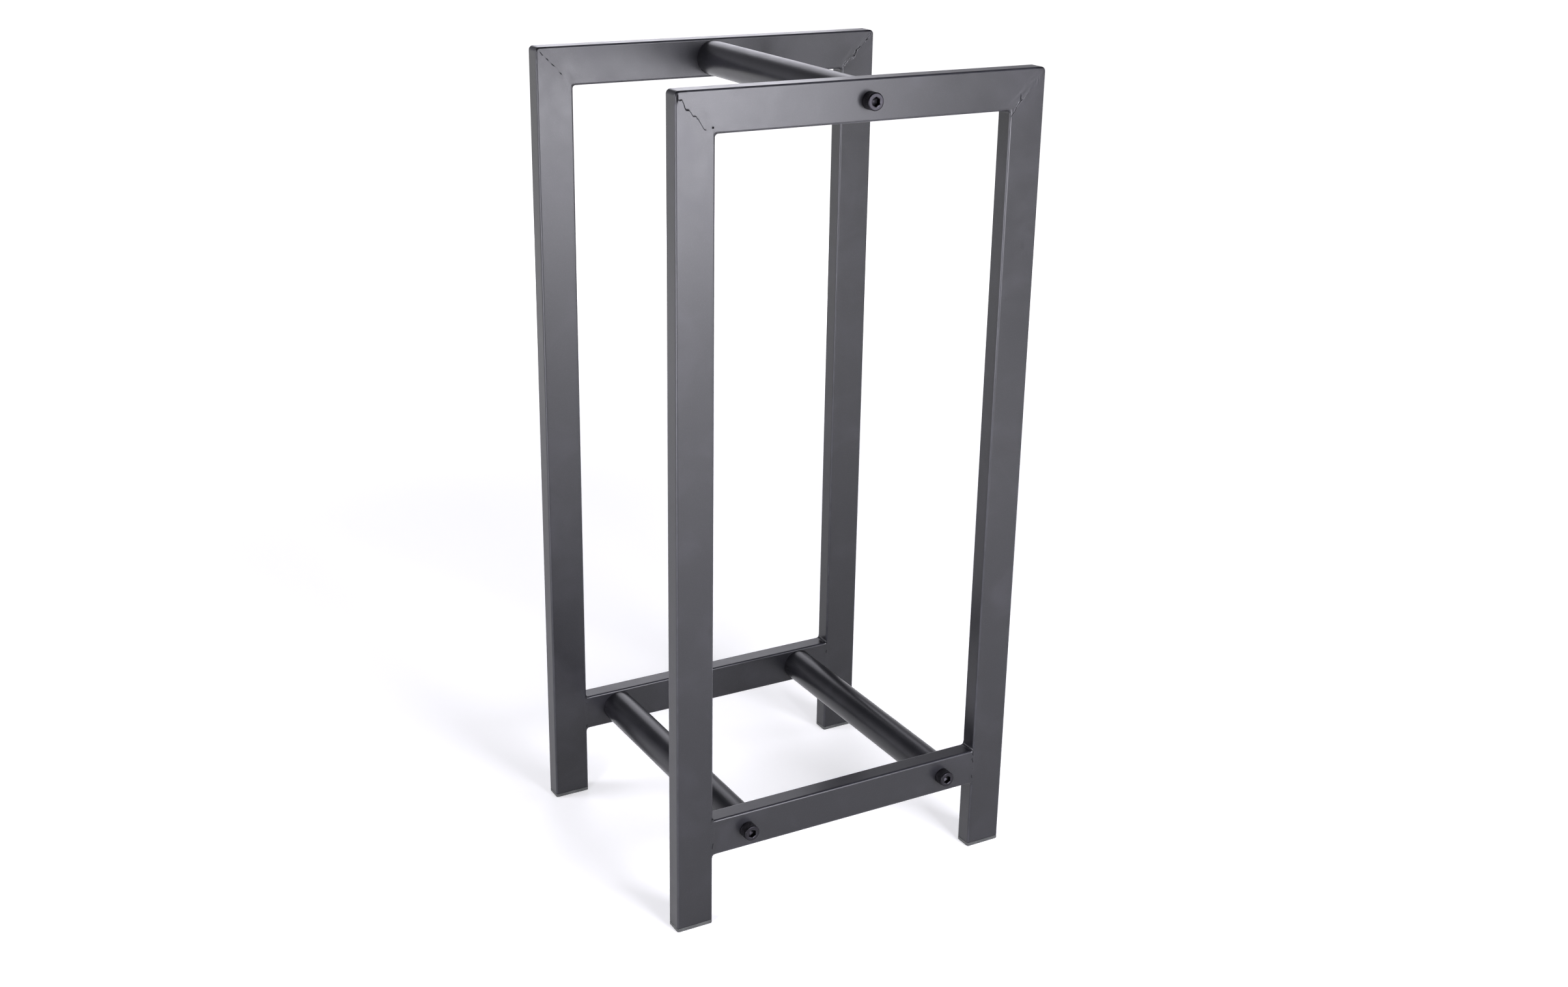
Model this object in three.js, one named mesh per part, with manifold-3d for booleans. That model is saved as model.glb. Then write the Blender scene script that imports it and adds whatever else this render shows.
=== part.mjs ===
// Firewood log rack: two welded frames of flat steel tube, held apart by a round carry handle
// and two round log bearers. Socket-head cap screws run through the frames into threaded
// plugs in the ends of the round tubes, and a foot cap closes each leg.
//
// Units are millimetres. +Z is up, the front frame faces -Y, +X is to the right when seen from
// the front, and the origin is on the floor at the middle of the rack.

import Module from "manifold-3d";
import * as THREE from "three";
import { mergeVertices } from "three/addons/utils/BufferGeometryUtils.js";

// Overall size of the two frames
const RACK_WIDTH = 300;
const RACK_DEPTH = 250;
const RACK_HEIGHT = 640;

// Flat rectangular tube of the legs and rails
const FLAT_TUBE_FACE = 30;
const FLAT_TUBE_SIDE = 15;
const FLAT_TUBE_WALL = 2;
const FLAT_TUBE_EDGE_RADIUS = 1.6;
const FRAME_CORNER_RADIUS = 3.5;

// Round tube of the handle and the bearers
const ROUND_TUBE_DIAMETER = 26.9;
const ROUND_TUBE_WALL = 2;

// Places of the bottom rails and the bearers
const BOTTOM_RAIL_UNDERSIDE = 60;
const BEARER_INSET = 60;

// M8 socket-head cap screws
const SCREW_DIAMETER = 8;
const SCREW_LENGTH = 30;
const SCREW_TIP_CHAMFER = 1;
const SCREW_HEAD_DIAMETER = 13;
const SCREW_HEAD_HEIGHT = 8;
const SCREW_HEAD_CHAMFER = 0.7;
const HEX_SOCKET_SIZE = 6;
const HEX_SOCKET_DEPTH = 4;
const HEX_SOCKET_CHAMFER = 0.4;

// Threaded plugs in the ends of the round tubes
const PLUG_LENGTH = 16;
const PLUG_CHAMFER = 1;

// Foot caps in the open leg ends
const FOOT_PLATE_HEIGHT = 3;
const FOOT_PLATE_CHAMFER = 0.5;
const FOOT_SPIGOT_HEIGHT = 14;
const FOOT_SPIGOT_WALL = 2;

// Clearances
const CONTACT_GAP = 0.3;
const THREAD_GAP = 0.3;
const SCREW_HOLE_CLEARANCE = 0.5;

// Facets
const ROUND_SEGMENTS = 32;
const HEX_SIDES = 6;
const EDGE_ARC_DIVISIONS = 2;
const CORNER_ARC_DIVISIONS = 4;
const CUT_OVERRUN = 5;
const WELD_TOLERANCE = 1e-4;

// Colours
const STEEL_COLOUR = "#55555b";
const SCREW_COLOUR = "#1c1c1e";
const PLUG_COLOUR = "#8d8f92";
const FOOT_COLOUR = "#2a2a2c";

const wasm = await Module();
wasm.setup();

// ------------------------------------------------------------ solids

// A closed geometry as a solid, without the zero-area triangles at a lathe's poles.
function toSolid(geometry) {
  const bare = geometry.clone();
  bare.deleteAttribute("normal");
  bare.deleteAttribute("uv");
  const merged = mergeVertices(bare, WELD_TOLERANCE);
  const corners = merged.index.array;
  const kept = [];
  for (let i = 0; i < corners.length; i += 3) {
    const [a, b, c] = [corners[i], corners[i + 1], corners[i + 2]];
    if (a !== b && b !== c && c !== a) {
      kept.push(a, b, c);
    }
  }
  const vertProperties = new Float32Array(merged.attributes.position.array);
  const triVerts = new Uint32Array(kept);
  return new wasm.Manifold(new wasm.Mesh({ numProp: 3, vertProperties, triVerts }));
}

// A solid as a flat-shaded geometry.
function toGeometry(solid) {
  const mesh = solid.getMesh();
  const indexed = new THREE.BufferGeometry();
  indexed.setAttribute("position", new THREE.BufferAttribute(mesh.vertProperties, mesh.numProp));
  indexed.setIndex(new THREE.BufferAttribute(mesh.triVerts, 1));
  const geometry = indexed.toNonIndexed();
  geometry.computeVertexNormals();
  return geometry;
}

// ------------------------------------------------------------ basic shapes

// A rectangle with round corners, centred on the origin.
function roundedRectangle(width, height, radius) {
  const shape = new THREE.Shape();
  const x = width / 2 - radius;
  const y = height / 2 - radius;
  const quarter = Math.PI / 2;
  shape.absarc(x, -y, radius, -quarter, 0, false);
  shape.absarc(x, y, radius, 0, quarter, false);
  shape.absarc(-x, y, radius, quarter, 2 * quarter, false);
  shape.absarc(-x, -y, radius, 2 * quarter, 3 * quarter, false);
  shape.closePath();
  return shape;
}

// A shape drawn in the plane of a frame, made a block through the tube's side and centred on it.
function blockThroughFrame(shape, side, divisions) {
  const options = { depth: side, bevelEnabled: false, curveSegments: divisions };
  const geometry = new THREE.ExtrudeGeometry(shape, options);
  geometry.rotateX(Math.PI / 2);
  geometry.translate(0, side / 2, 0);
  return geometry;
}

// A rod along Y, centred on the origin.
function rodAlongY(radius, length) {
  return new THREE.CylinderGeometry(radius, radius, length, ROUND_SEGMENTS);
}

// ------------------------------------------------------------ flat tube

// A straight flat tube along Z from the origin, its wide face towards -Y.
function flatTube(length) {
  const shape = roundedRectangle(FLAT_TUBE_FACE, FLAT_TUBE_SIDE, FLAT_TUBE_EDGE_RADIUS);
  const innerFace = FLAT_TUBE_FACE - 2 * FLAT_TUBE_WALL;
  const innerSide = FLAT_TUBE_SIDE - 2 * FLAT_TUBE_WALL;
  const hollow = new THREE.Path();
  hollow.moveTo(-innerFace / 2, -innerSide / 2);
  hollow.lineTo(-innerFace / 2, innerSide / 2);
  hollow.lineTo(innerFace / 2, innerSide / 2);
  hollow.lineTo(innerFace / 2, -innerSide / 2);
  hollow.closePath();
  shape.holes.push(hollow);
  const options = { depth: length, bevelEnabled: false, curveSegments: EDGE_ARC_DIVISIONS };
  return new THREE.ExtrudeGeometry(shape, options);
}

// The outline of a whole frame, with its round top corners, as a block.
function frameOutline() {
  const x = RACK_WIDTH / 2;
  const top = RACK_HEIGHT;
  const radius = FRAME_CORNER_RADIUS;
  const shape = new THREE.Shape();
  shape.moveTo(-x, -CUT_OVERRUN);
  shape.lineTo(x, -CUT_OVERRUN);
  shape.lineTo(x, top - radius);
  shape.absarc(x - radius, top - radius, radius, 0, Math.PI / 2, false);
  shape.lineTo(-x + radius, top);
  shape.absarc(-x + radius, top - radius, radius, Math.PI / 2, Math.PI, false);
  shape.closePath();
  return blockThroughFrame(shape, FLAT_TUBE_SIDE + 2 * CUT_OVERRUN, CORNER_ARC_DIVISIONS);
}

// The waste beyond a mitre: a block bounded by the 45 degree line through a top corner.
// side is -1 at the left corner and 1 at the right. half is 1 for the waste above the line,
// which a leg loses, and -1 for the waste below it, which the rail loses.
function mitreWaste(side, half) {
  const cornerX = side * (RACK_WIDTH / 2);
  const gapShift = (half * CONTACT_GAP * Math.SQRT1_2);
  const reach = 2 * FLAT_TUBE_FACE;
  const outer = new THREE.Vector2(cornerX + side * reach, RACK_HEIGHT + reach - gapShift);
  const inner = new THREE.Vector2(cornerX - side * reach, RACK_HEIGHT - reach - gapShift);
  const beyond = new THREE.Vector2(
    cornerX - half * side * reach,
    RACK_HEIGHT + half * reach - gapShift,
  );
  const shape = new THREE.Shape([outer, inner, beyond]);
  return blockThroughFrame(shape, FLAT_TUBE_SIDE + 2 * CUT_OVERRUN, 1);
}

// The hole for one screw, right through a rail.
function screwHole(x, z) {
  const radius = SCREW_DIAMETER / 2 + SCREW_HOLE_CLEARANCE;
  const hole = rodAlongY(radius, FLAT_TUBE_SIDE + 2 * CUT_OVERRUN);
  hole.translate(x, 0, z);
  return hole;
}

const handleHeight = RACK_HEIGHT - FLAT_TUBE_FACE / 2;
const bearerHeight = BOTTOM_RAIL_UNDERSIDE + FLAT_TUBE_FACE / 2;
const bearerX = RACK_WIDTH / 2 - BEARER_INSET;

function legGeometry(side) {
  const foot = FOOT_PLATE_HEIGHT + CONTACT_GAP;
  const tube = flatTube(RACK_HEIGHT - foot);
  tube.translate(side * (RACK_WIDTH - FLAT_TUBE_FACE) / 2, 0, foot);
  const mitred = toSolid(tube).subtract(toSolid(mitreWaste(side, 1)));
  return toGeometry(mitred.intersect(toSolid(frameOutline())));
}

function topRailGeometry() {
  const tube = flatTube(RACK_WIDTH);
  tube.rotateY(Math.PI / 2);
  tube.translate(-RACK_WIDTH / 2, 0, handleHeight);
  const mitred = toSolid(tube)
    .subtract(toSolid(mitreWaste(-1, -1)))
    .subtract(toSolid(mitreWaste(1, -1)))
    .subtract(toSolid(screwHole(0, handleHeight)));
  return toGeometry(mitred.intersect(toSolid(frameOutline())));
}

function bottomRailGeometry() {
  const length = RACK_WIDTH - 2 * FLAT_TUBE_FACE - 2 * CONTACT_GAP;
  const tube = flatTube(length);
  tube.rotateY(Math.PI / 2);
  tube.translate(-length / 2, 0, bearerHeight);
  const drilled = toSolid(tube)
    .subtract(toSolid(screwHole(-bearerX, bearerHeight)))
    .subtract(toSolid(screwHole(bearerX, bearerHeight)));
  return toGeometry(drilled);
}

// ------------------------------------------------------------ round tube and its ends

const spanBetweenFrames = RACK_DEPTH - 2 * FLAT_TUBE_SIDE - 2 * CONTACT_GAP;
const roundTubeInnerRadius = ROUND_TUBE_DIAMETER / 2 - ROUND_TUBE_WALL;

// A round tube along Y, centred on the origin, that fits between the frames.
function roundTubeGeometry() {
  const shape = new THREE.Shape();
  shape.absarc(0, 0, ROUND_TUBE_DIAMETER / 2, 0, 2 * Math.PI, false);
  const hollow = new THREE.Path();
  hollow.absarc(0, 0, roundTubeInnerRadius, 0, 2 * Math.PI, true);
  shape.holes.push(hollow);
  return toGeometry(toSolid(blockThroughFrame(shape, spanBetweenFrames, ROUND_SEGMENTS / 2)));
}

// A threaded plug along Y, its outer end at the origin and its body towards +Y.
function plugGeometry() {
  const radius = roundTubeInnerRadius - CONTACT_GAP;
  const profile = [
    new THREE.Vector2(0, 0),
    new THREE.Vector2(radius - PLUG_CHAMFER, 0),
    new THREE.Vector2(radius, PLUG_CHAMFER),
    new THREE.Vector2(radius, PLUG_LENGTH - PLUG_CHAMFER),
    new THREE.Vector2(radius - PLUG_CHAMFER, PLUG_LENGTH),
    new THREE.Vector2(0, PLUG_LENGTH),
  ];
  const blank = new THREE.LatheGeometry(profile, ROUND_SEGMENTS);
  const bore = rodAlongY(SCREW_DIAMETER / 2 + THREAD_GAP, PLUG_LENGTH + 2 * CUT_OVERRUN);
  bore.translate(0, PLUG_LENGTH / 2, 0);
  return toGeometry(toSolid(blank).subtract(toSolid(bore)));
}

// ------------------------------------------------------------ screw

// The hexagon socket in the head's end face, with the cone at its mouth.
function hexSocket() {
  const cornerRadius = HEX_SOCKET_SIZE / 2 / Math.cos(Math.PI / HEX_SIDES);
  const length = HEX_SOCKET_DEPTH + CUT_OVERRUN;
  const prism = new THREE.CylinderGeometry(cornerRadius, cornerRadius, length, HEX_SIDES);
  prism.translate(0, -SCREW_HEAD_HEIGHT + HEX_SOCKET_DEPTH - length / 2, 0);
  const coneHeight = cornerRadius + HEX_SOCKET_CHAMFER;
  const cone = new THREE.ConeGeometry(coneHeight, coneHeight, ROUND_SEGMENTS);
  cone.translate(0, -SCREW_HEAD_HEIGHT + coneHeight / 2, 0);
  return toSolid(prism).add(toSolid(cone));
}

// A cap screw along Y with its head's seat at the origin and its shank towards +Y.
function screwGeometry() {
  const headRadius = SCREW_HEAD_DIAMETER / 2;
  const shankRadius = SCREW_DIAMETER / 2;
  const profile = [
    new THREE.Vector2(0, -SCREW_HEAD_HEIGHT),
    new THREE.Vector2(headRadius - SCREW_HEAD_CHAMFER, -SCREW_HEAD_HEIGHT),
    new THREE.Vector2(headRadius, -SCREW_HEAD_HEIGHT + SCREW_HEAD_CHAMFER),
    new THREE.Vector2(headRadius, 0),
    new THREE.Vector2(shankRadius, 0),
    new THREE.Vector2(shankRadius, SCREW_LENGTH - SCREW_TIP_CHAMFER),
    new THREE.Vector2(shankRadius - SCREW_TIP_CHAMFER, SCREW_LENGTH),
    new THREE.Vector2(0, SCREW_LENGTH),
  ];
  const blank = new THREE.LatheGeometry(profile, ROUND_SEGMENTS);
  return toGeometry(toSolid(blank).subtract(hexSocket()));
}

// ------------------------------------------------------------ foot cap

// A foot cap with its plate on the floor and an open-topped spigot that fits in the leg.
function footCapGeometry() {
  const outline = roundedRectangle(FLAT_TUBE_FACE, FLAT_TUBE_SIDE, FLAT_TUBE_EDGE_RADIUS);
  const plate = new THREE.ExtrudeGeometry(outline, {
    depth: FOOT_PLATE_HEIGHT - 2 * FOOT_PLATE_CHAMFER,
    bevelThickness: FOOT_PLATE_CHAMFER,
    bevelSize: FOOT_PLATE_CHAMFER,
    bevelOffset: -FOOT_PLATE_CHAMFER,
    bevelSegments: 1,
    curveSegments: EDGE_ARC_DIVISIONS,
  });
  plate.translate(0, 0, FOOT_PLATE_CHAMFER);
  const inset = 2 * (FLAT_TUBE_WALL + CONTACT_GAP);
  const spigotFace = FLAT_TUBE_FACE - inset;
  const spigotSide = FLAT_TUBE_SIDE - inset;
  const spigotTop = FOOT_PLATE_HEIGHT + FOOT_SPIGOT_HEIGHT;
  const spigotFoot = FOOT_PLATE_HEIGHT / 2;
  const spigot = new THREE.BoxGeometry(spigotFace, spigotSide, spigotTop - spigotFoot);
  spigot.translate(0, 0, (spigotTop + spigotFoot) / 2);
  const pocket = new THREE.BoxGeometry(
    spigotFace - 2 * FOOT_SPIGOT_WALL,
    spigotSide - 2 * FOOT_SPIGOT_WALL,
    2 * FOOT_SPIGOT_HEIGHT,
  );
  pocket.translate(0, 0, FOOT_PLATE_HEIGHT + FOOT_SPIGOT_HEIGHT);
  return toGeometry(toSolid(plate).add(toSolid(spigot)).subtract(toSolid(pocket)));
}

// ------------------------------------------------------------ materials

function powderCoatedSteel() {
  return new THREE.MeshStandardMaterial({ color: STEEL_COLOUR, roughness: 0.5, metalness: 0.1 });
}

function blackenedSteel() {
  return new THREE.MeshStandardMaterial({ color: SCREW_COLOUR, roughness: 0.35, metalness: 0.9 });
}

function zincedSteel() {
  return new THREE.MeshStandardMaterial({ color: PLUG_COLOUR, roughness: 0.4, metalness: 1 });
}

function blackPolyethylene() {
  return new THREE.MeshStandardMaterial({ color: FOOT_COLOUR, roughness: 0.6, metalness: 0 });
}

// ------------------------------------------------------------ assembly

function namedMesh(name, geometry, material) {
  const mesh = new THREE.Mesh(geometry, material);
  mesh.name = name;
  return mesh;
}

const rack = new THREE.Group();
const frameY = (RACK_DEPTH - FLAT_TUBE_SIDE) / 2;
const ends = [
  { name: "front", side: -1 },
  { name: "rear", side: 1 },
];
const sides = [
  { name: "left", side: -1 },
  { name: "right", side: 1 },
];
const roundTubes = [
  { tube: "carry_handle", place: "top", x: 0, z: handleHeight },
  { tube: "left_log_bearer", place: "lower_left", x: -bearerX, z: bearerHeight },
  { tube: "right_log_bearer", place: "lower_right", x: bearerX, z: bearerHeight },
];

for (const end of ends) {
  const frame = new THREE.Group();
  frame.position.y = end.side * frameY;
  rack.add(frame);
  frame.add(namedMesh(`${end.name}_top_rail`, topRailGeometry(), powderCoatedSteel()));
  frame.add(namedMesh(`${end.name}_bottom_rail`, bottomRailGeometry(), powderCoatedSteel()));
  for (const { name, side } of sides) {
    frame.add(namedMesh(`${end.name}_${name}_leg`, legGeometry(side), powderCoatedSteel()));
    const cap = namedMesh(
      `${end.name}_${name}_foot_cap`,
      footCapGeometry(),
      blackPolyethylene(),
    );
    cap.position.x = side * (RACK_WIDTH - FLAT_TUBE_FACE) / 2;
    frame.add(cap);
  }
}

for (const { tube, place, x, z } of roundTubes) {
  const group = new THREE.Group();
  group.position.set(x, 0, z);
  rack.add(group);
  group.add(namedMesh(tube, roundTubeGeometry(), powderCoatedSteel()));
  for (const end of ends) {
    // The plug and screw point inwards, so at the rear they are turned half round.
    const turn = end.side > 0 ? Math.PI : 0;
    const plug = namedMesh(`${end.name}_${place}_threaded_plug`, plugGeometry(), zincedSteel());
    plug.position.y = end.side * (spanBetweenFrames / 2);
    plug.rotation.z = turn;
    group.add(plug);
    const screw = namedMesh(`${end.name}_${place}_cap_screw`, screwGeometry(), blackenedSteel());
    screw.position.y = end.side * (RACK_DEPTH / 2 + CONTACT_GAP);
    screw.rotation.z = turn;
    group.add(screw);
  }
}

export default rack;
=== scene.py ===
import math

import bpy
import numpy as np
from mathutils import Matrix, Vector


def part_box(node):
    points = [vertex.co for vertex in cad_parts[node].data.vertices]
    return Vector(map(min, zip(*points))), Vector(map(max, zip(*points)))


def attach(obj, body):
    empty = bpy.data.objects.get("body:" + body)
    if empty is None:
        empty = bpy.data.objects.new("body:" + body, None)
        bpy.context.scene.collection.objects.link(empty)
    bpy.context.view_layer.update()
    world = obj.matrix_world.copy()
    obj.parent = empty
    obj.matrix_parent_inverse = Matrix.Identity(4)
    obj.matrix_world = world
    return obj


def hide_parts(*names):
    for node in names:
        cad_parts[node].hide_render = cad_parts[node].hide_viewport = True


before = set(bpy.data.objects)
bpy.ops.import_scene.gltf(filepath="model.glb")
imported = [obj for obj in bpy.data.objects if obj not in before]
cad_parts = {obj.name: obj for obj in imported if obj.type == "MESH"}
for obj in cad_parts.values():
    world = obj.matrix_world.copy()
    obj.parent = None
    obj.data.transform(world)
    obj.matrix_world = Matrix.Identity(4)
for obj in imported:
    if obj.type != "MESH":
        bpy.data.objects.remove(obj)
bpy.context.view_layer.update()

MM = 0.001


# ---------------------------------------------------------------------------------------------
# Two upright frames. Each is four lengths of 30 x 15 mm flat steel tube with a 2 mm wall: the
# legs and top rail are sawn to a mitre, the bottom rail is butted between the legs. They are
# welded, ground flush and powder coated in satin anthracite.
TUBE_WALL = 2.0 * MM
TUBE_EDGE_RADIUS = 1.6 * MM
TUBE_BORE_RADIUS = 0.5 * MM
OUTER_CORNER_RADIUS = 3.5 * MM
INNER_CORNER_FILLET = 2.6 * MM
FILLET_BLEND = 3.0 * MM
CORNER_REACH = 38.0 * MM
CORNER_ROWS = 26
BURR_CHAMFER = 0.25 * MM
ROW_SPACING = 20.0 * MM
EDGE_STEPS = 8
HAIR = 0.3 * MM
RAIL_SCREW_HOLE = 8.5 * MM
HOLE_STEPS = 48
SHARP_ANGLE = math.radians(32)
FULL_TURN = 2 * math.pi
MITRE_TURN = math.pi / 4
TINY = 1e-9  # keeps a division away from zero
NUDGE = 1e-7  # keeps the steps of a slope apart where the points stand still

left_low, left_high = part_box("front_left_leg")
FACE_WIDTH = left_high.x - left_low.x
SIDE_DEPTH = left_high.y - left_low.y
RACK_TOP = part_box("front_top_rail")[1].z
OUTER_X = -left_low.x


def linear(hex_colour):
    """Linear colour of an sRGB hex value: each channel is divided by 12.92 when it is dark, and
    otherwise is (channel + 0.055) / 1.055 raised to 2.4."""
    srgb = np.array([int(hex_colour[i:i + 2], 16) / 255 for i in (1, 3, 5)])
    bright = ((srgb + 0.055) / 1.055) ** 2.4
    return (*np.where(srgb <= 0.04045, srgb / 12.92, bright), 1.0)


def add_node(tree, kind, settings, inputs):
    """One node of this kind, with its settings, and each input set to a value or linked."""
    node = tree.nodes.new(kind)
    for name, value in settings.items():
        setattr(node, name, value)
    for socket, value in inputs.items():
        if isinstance(value, bpy.types.NodeSocket):
            tree.links.new(value, node.inputs[socket])
        else:
            node.inputs[socket].default_value = value
    return node


def start_finish(name):
    """An empty material, its node tree and the Object coordinates that its patterns follow."""
    material = bpy.data.materials.new(name)
    material.use_nodes = True
    tree = material.node_tree
    tree.nodes.clear()
    place = add_node(tree, "ShaderNodeTexCoord", {}, {}).outputs["Object"]
    return material, tree, place


# Satin powder coat on steel: a baked polyester film about 0.08 mm thick. It reads as a soft
# charcoal sheen with a faint orange peel and a few finger smudges. The tube edges are lighter in
# patches: a painted highlight. The open weld seams and pits are painted near black and made
# non-reflecting: painted shade for the shadow deep in the crack. Orange peel really is 1 to 3 mm
# across; flecks of about 0.2 mm are drawn 0.9 mm.
COAT_COLOUR = "#131316"
COAT_FLECK_COLOUR = "#1b1b1f"
COAT_DUST_COLOUR = "#2a292f"
# The edge colour is a painted highlight on the rounded tube edges.
COAT_EDGE_HIGHLIGHT_COLOUR = "#323237"
# The seam colour is painted shade: near black for the shadow inside the open seams and pits.
COAT_SEAM_SHADE_COLOUR = "#060607"
COAT_IOR = 1.43
COAT_ROUGHNESS_CLEAN = 0.295
COAT_ROUGHNESS_SMUDGED = 0.345
ORANGE_PEEL_SIZE = 2.2 * MM
ORANGE_PEEL_HEIGHT = 0.016 * MM
FLECK_SIZE = 0.9 * MM
FLECK_HEIGHT = 0.006 * MM
SMUDGE_SIZE = 34.0 * MM
SMUDGE_DUST_SHARE = 0.35
SCUFF_SIZE = 9.0 * MM
SCUFF_ROUGHNESS = 0.015
SEAM_ROUGHNESS = 0.6
powder_coat, tree, place = start_finish("satin_powder_coated_steel")
fleck = add_node(tree, "ShaderNodeTexNoise", {},
                 {"Vector": place, "Scale": 1 / FLECK_SIZE, "Detail": 2.0})
peel = add_node(tree, "ShaderNodeTexNoise", {},
                {"Vector": place, "Scale": 1 / ORANGE_PEEL_SIZE, "Detail": 1.0})
smudge = add_node(tree, "ShaderNodeTexNoise", {},
                  {"Vector": place, "Scale": 1 / SMUDGE_SIZE, "Detail": 4.0, "Distortion": 0.6})
scuff = add_node(tree, "ShaderNodeTexNoise", {},
                 {"Vector": place, "Scale": 1 / SCUFF_SIZE, "Detail": 5.0})
edge = add_node(tree, "ShaderNodeAttribute", {"attribute_name": "edge"}, {})
# The seam mark carries the painted shade of the open seams and pits.
seam_shade = add_node(tree, "ShaderNodeAttribute", {"attribute_name": "seam_shade"}, {})
fleck_share = add_node(tree, "ShaderNodeMapRange", {},
                       {"Value": fleck.outputs["Fac"], "From Min": 0.52, "From Max": 0.72})
coat_colour = add_node(tree, "ShaderNodeMix", {"data_type": "RGBA"},
                       {0: fleck_share.outputs[0], 6: linear(COAT_COLOUR),
                        7: linear(COAT_FLECK_COLOUR)})
dust_share = add_node(tree, "ShaderNodeMapRange", {},
                      {"Value": smudge.outputs["Fac"], "From Min": 0.5, "From Max": 0.8,
                       "To Max": SMUDGE_DUST_SHARE})
dusty = add_node(tree, "ShaderNodeMix", {"data_type": "RGBA"},
                 {0: dust_share.outputs[0], 6: coat_colour.outputs[2],
                  7: linear(COAT_DUST_COLOUR)})
# Painted highlight: the tube edges lighten in patches where the scuff noise is high.
patchy_edge_highlight = add_node(tree, "ShaderNodeMath", {"operation": "MULTIPLY"},
                     {0: edge.outputs["Fac"], 1: scuff.outputs["Fac"]})
edge_highlighted = add_node(tree, "ShaderNodeMix", {"data_type": "RGBA"},
                 {0: patchy_edge_highlight.outputs[0], 6: dusty.outputs[2], 7: linear(COAT_EDGE_HIGHLIGHT_COLOUR)})
# Painted shade: the seams and pits are mixed to near black.
seam_shaded = add_node(tree, "ShaderNodeMix", {"data_type": "RGBA"},
                  {0: seam_shade.outputs["Fac"], 6: edge_highlighted.outputs[2], 7: linear(COAT_SEAM_SHADE_COLOUR)})
smudge_roughness = add_node(tree, "ShaderNodeMapRange", {},
                            {"Value": smudge.outputs["Fac"], "From Min": 0.3, "From Max": 0.7,
                             "To Min": COAT_ROUGHNESS_CLEAN, "To Max": COAT_ROUGHNESS_SMUDGED})
scuff_roughness = add_node(tree, "ShaderNodeMapRange", {},
                           {"Value": scuff.outputs["Fac"], "From Min": 0.3, "From Max": 0.7,
                            "To Min": -SCUFF_ROUGHNESS, "To Max": SCUFF_ROUGHNESS})
coat_roughness = add_node(tree, "ShaderNodeMath", {"operation": "ADD"},
                          {0: smudge_roughness.outputs[0], 1: scuff_roughness.outputs[0]})
seam_roughness = add_node(tree, "ShaderNodeMath", {"operation": "MULTIPLY_ADD", "use_clamp": True},
                          {0: seam_shade.outputs["Fac"], 1: SEAM_ROUGHNESS, 2: coat_roughness.outputs[0]})
peel_bump = add_node(tree, "ShaderNodeBump", {},
                     {"Height": peel.outputs["Fac"], "Distance": ORANGE_PEEL_HEIGHT,
                      "Strength": 1.0})
fleck_bump = add_node(tree, "ShaderNodeBump", {},
                      {"Height": fleck.outputs["Fac"], "Distance": FLECK_HEIGHT, "Strength": 1.0,
                       "Normal": peel_bump.outputs[0]})
# Metallic follows the seam mark, so with the near black colour the seams and pits reflect nothing:
# painted shade.
coat_shader = add_node(tree, "ShaderNodeBsdfPrincipled", {},
                       {"Base Color": seam_shaded.outputs[2], "Roughness": seam_roughness.outputs[0],
                        "Normal": fleck_bump.outputs[0], "Metallic": seam_shade.outputs["Fac"],
                        "IOR": COAT_IOR})
add_node(tree, "ShaderNodeOutputMaterial", {}, {"Surface": coat_shader.outputs[0]})


def rounded_loop(width, depth, radius, face_steps, side_steps):
    """Points and outward normals once round a tube section, as across and deep distances. Each
    corner is a quarter turn of the radius about its own centre. Each straight is divided evenly,
    with two more points a hair in from its ends so that the flat stays flat when shaded."""
    half = depth / 2
    centres = np.array([[width - radius, half - radius], [radius, half - radius],
                        [radius, radius - half], [width - radius, radius - half]])
    points, normals = [], []
    for turn in range(4):
        angle = math.pi / 2 * (turn + np.linspace(0, 1, EDGE_STEPS + 1))
        outward = np.stack([np.cos(angle), np.sin(angle)], axis=1)
        arc = centres[turn] + radius * outward
        straight = centres[(turn + 1) % 4] + radius * outward[-1] - arc[-1]
        length = np.linalg.norm(straight)
        steps = (face_steps, side_steps)[turn % 2]
        share = np.linspace(0, 1, steps + 1)[1:-1]
        share = np.concatenate([[HAIR / length], share, [1 - HAIR / length]])[:, None]
        points += [arc, arc[-1] + share * straight]
        normals += [outward, np.repeat(outward[-1:], len(share), axis=0)]
    return np.concatenate(points), np.concatenate(normals)


def corner_rounding(across):
    """Radius of the turn that a line along the tube makes at the mitre: the corner radius less
    the distance from the outer face, and a smooth rise to the fillet at the inner face."""
    rise = np.clip((across - FACE_WIDTH + FILLET_BLEND) / FILLET_BLEND, 0, 1)
    fillet = INNER_CORNER_FILLET * rise ** 2 * (3 - 2 * rise)
    return np.maximum(OUTER_CORNER_RADIUS - across, 0) + fillet


def towards_mitre(across, back):
    """Where a line along the tube is with the length back still to go to the mitre. The line is
    straight, and then turns an eighth of a circle so that it meets the mitre square on. Returns
    how far short of the outer corner it is, how far from the outer face, and its angle."""
    rounding = corner_rounding(across)
    arc = rounding * MITRE_TURN
    turned = np.clip(arc - back, 0, None) / np.maximum(rounding, TINY)
    short = across + rounding * (1 - np.sin(turned)) + np.clip(back - arc, 0, None)
    return short, across + rounding * (1 - np.cos(turned)), turned


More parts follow.
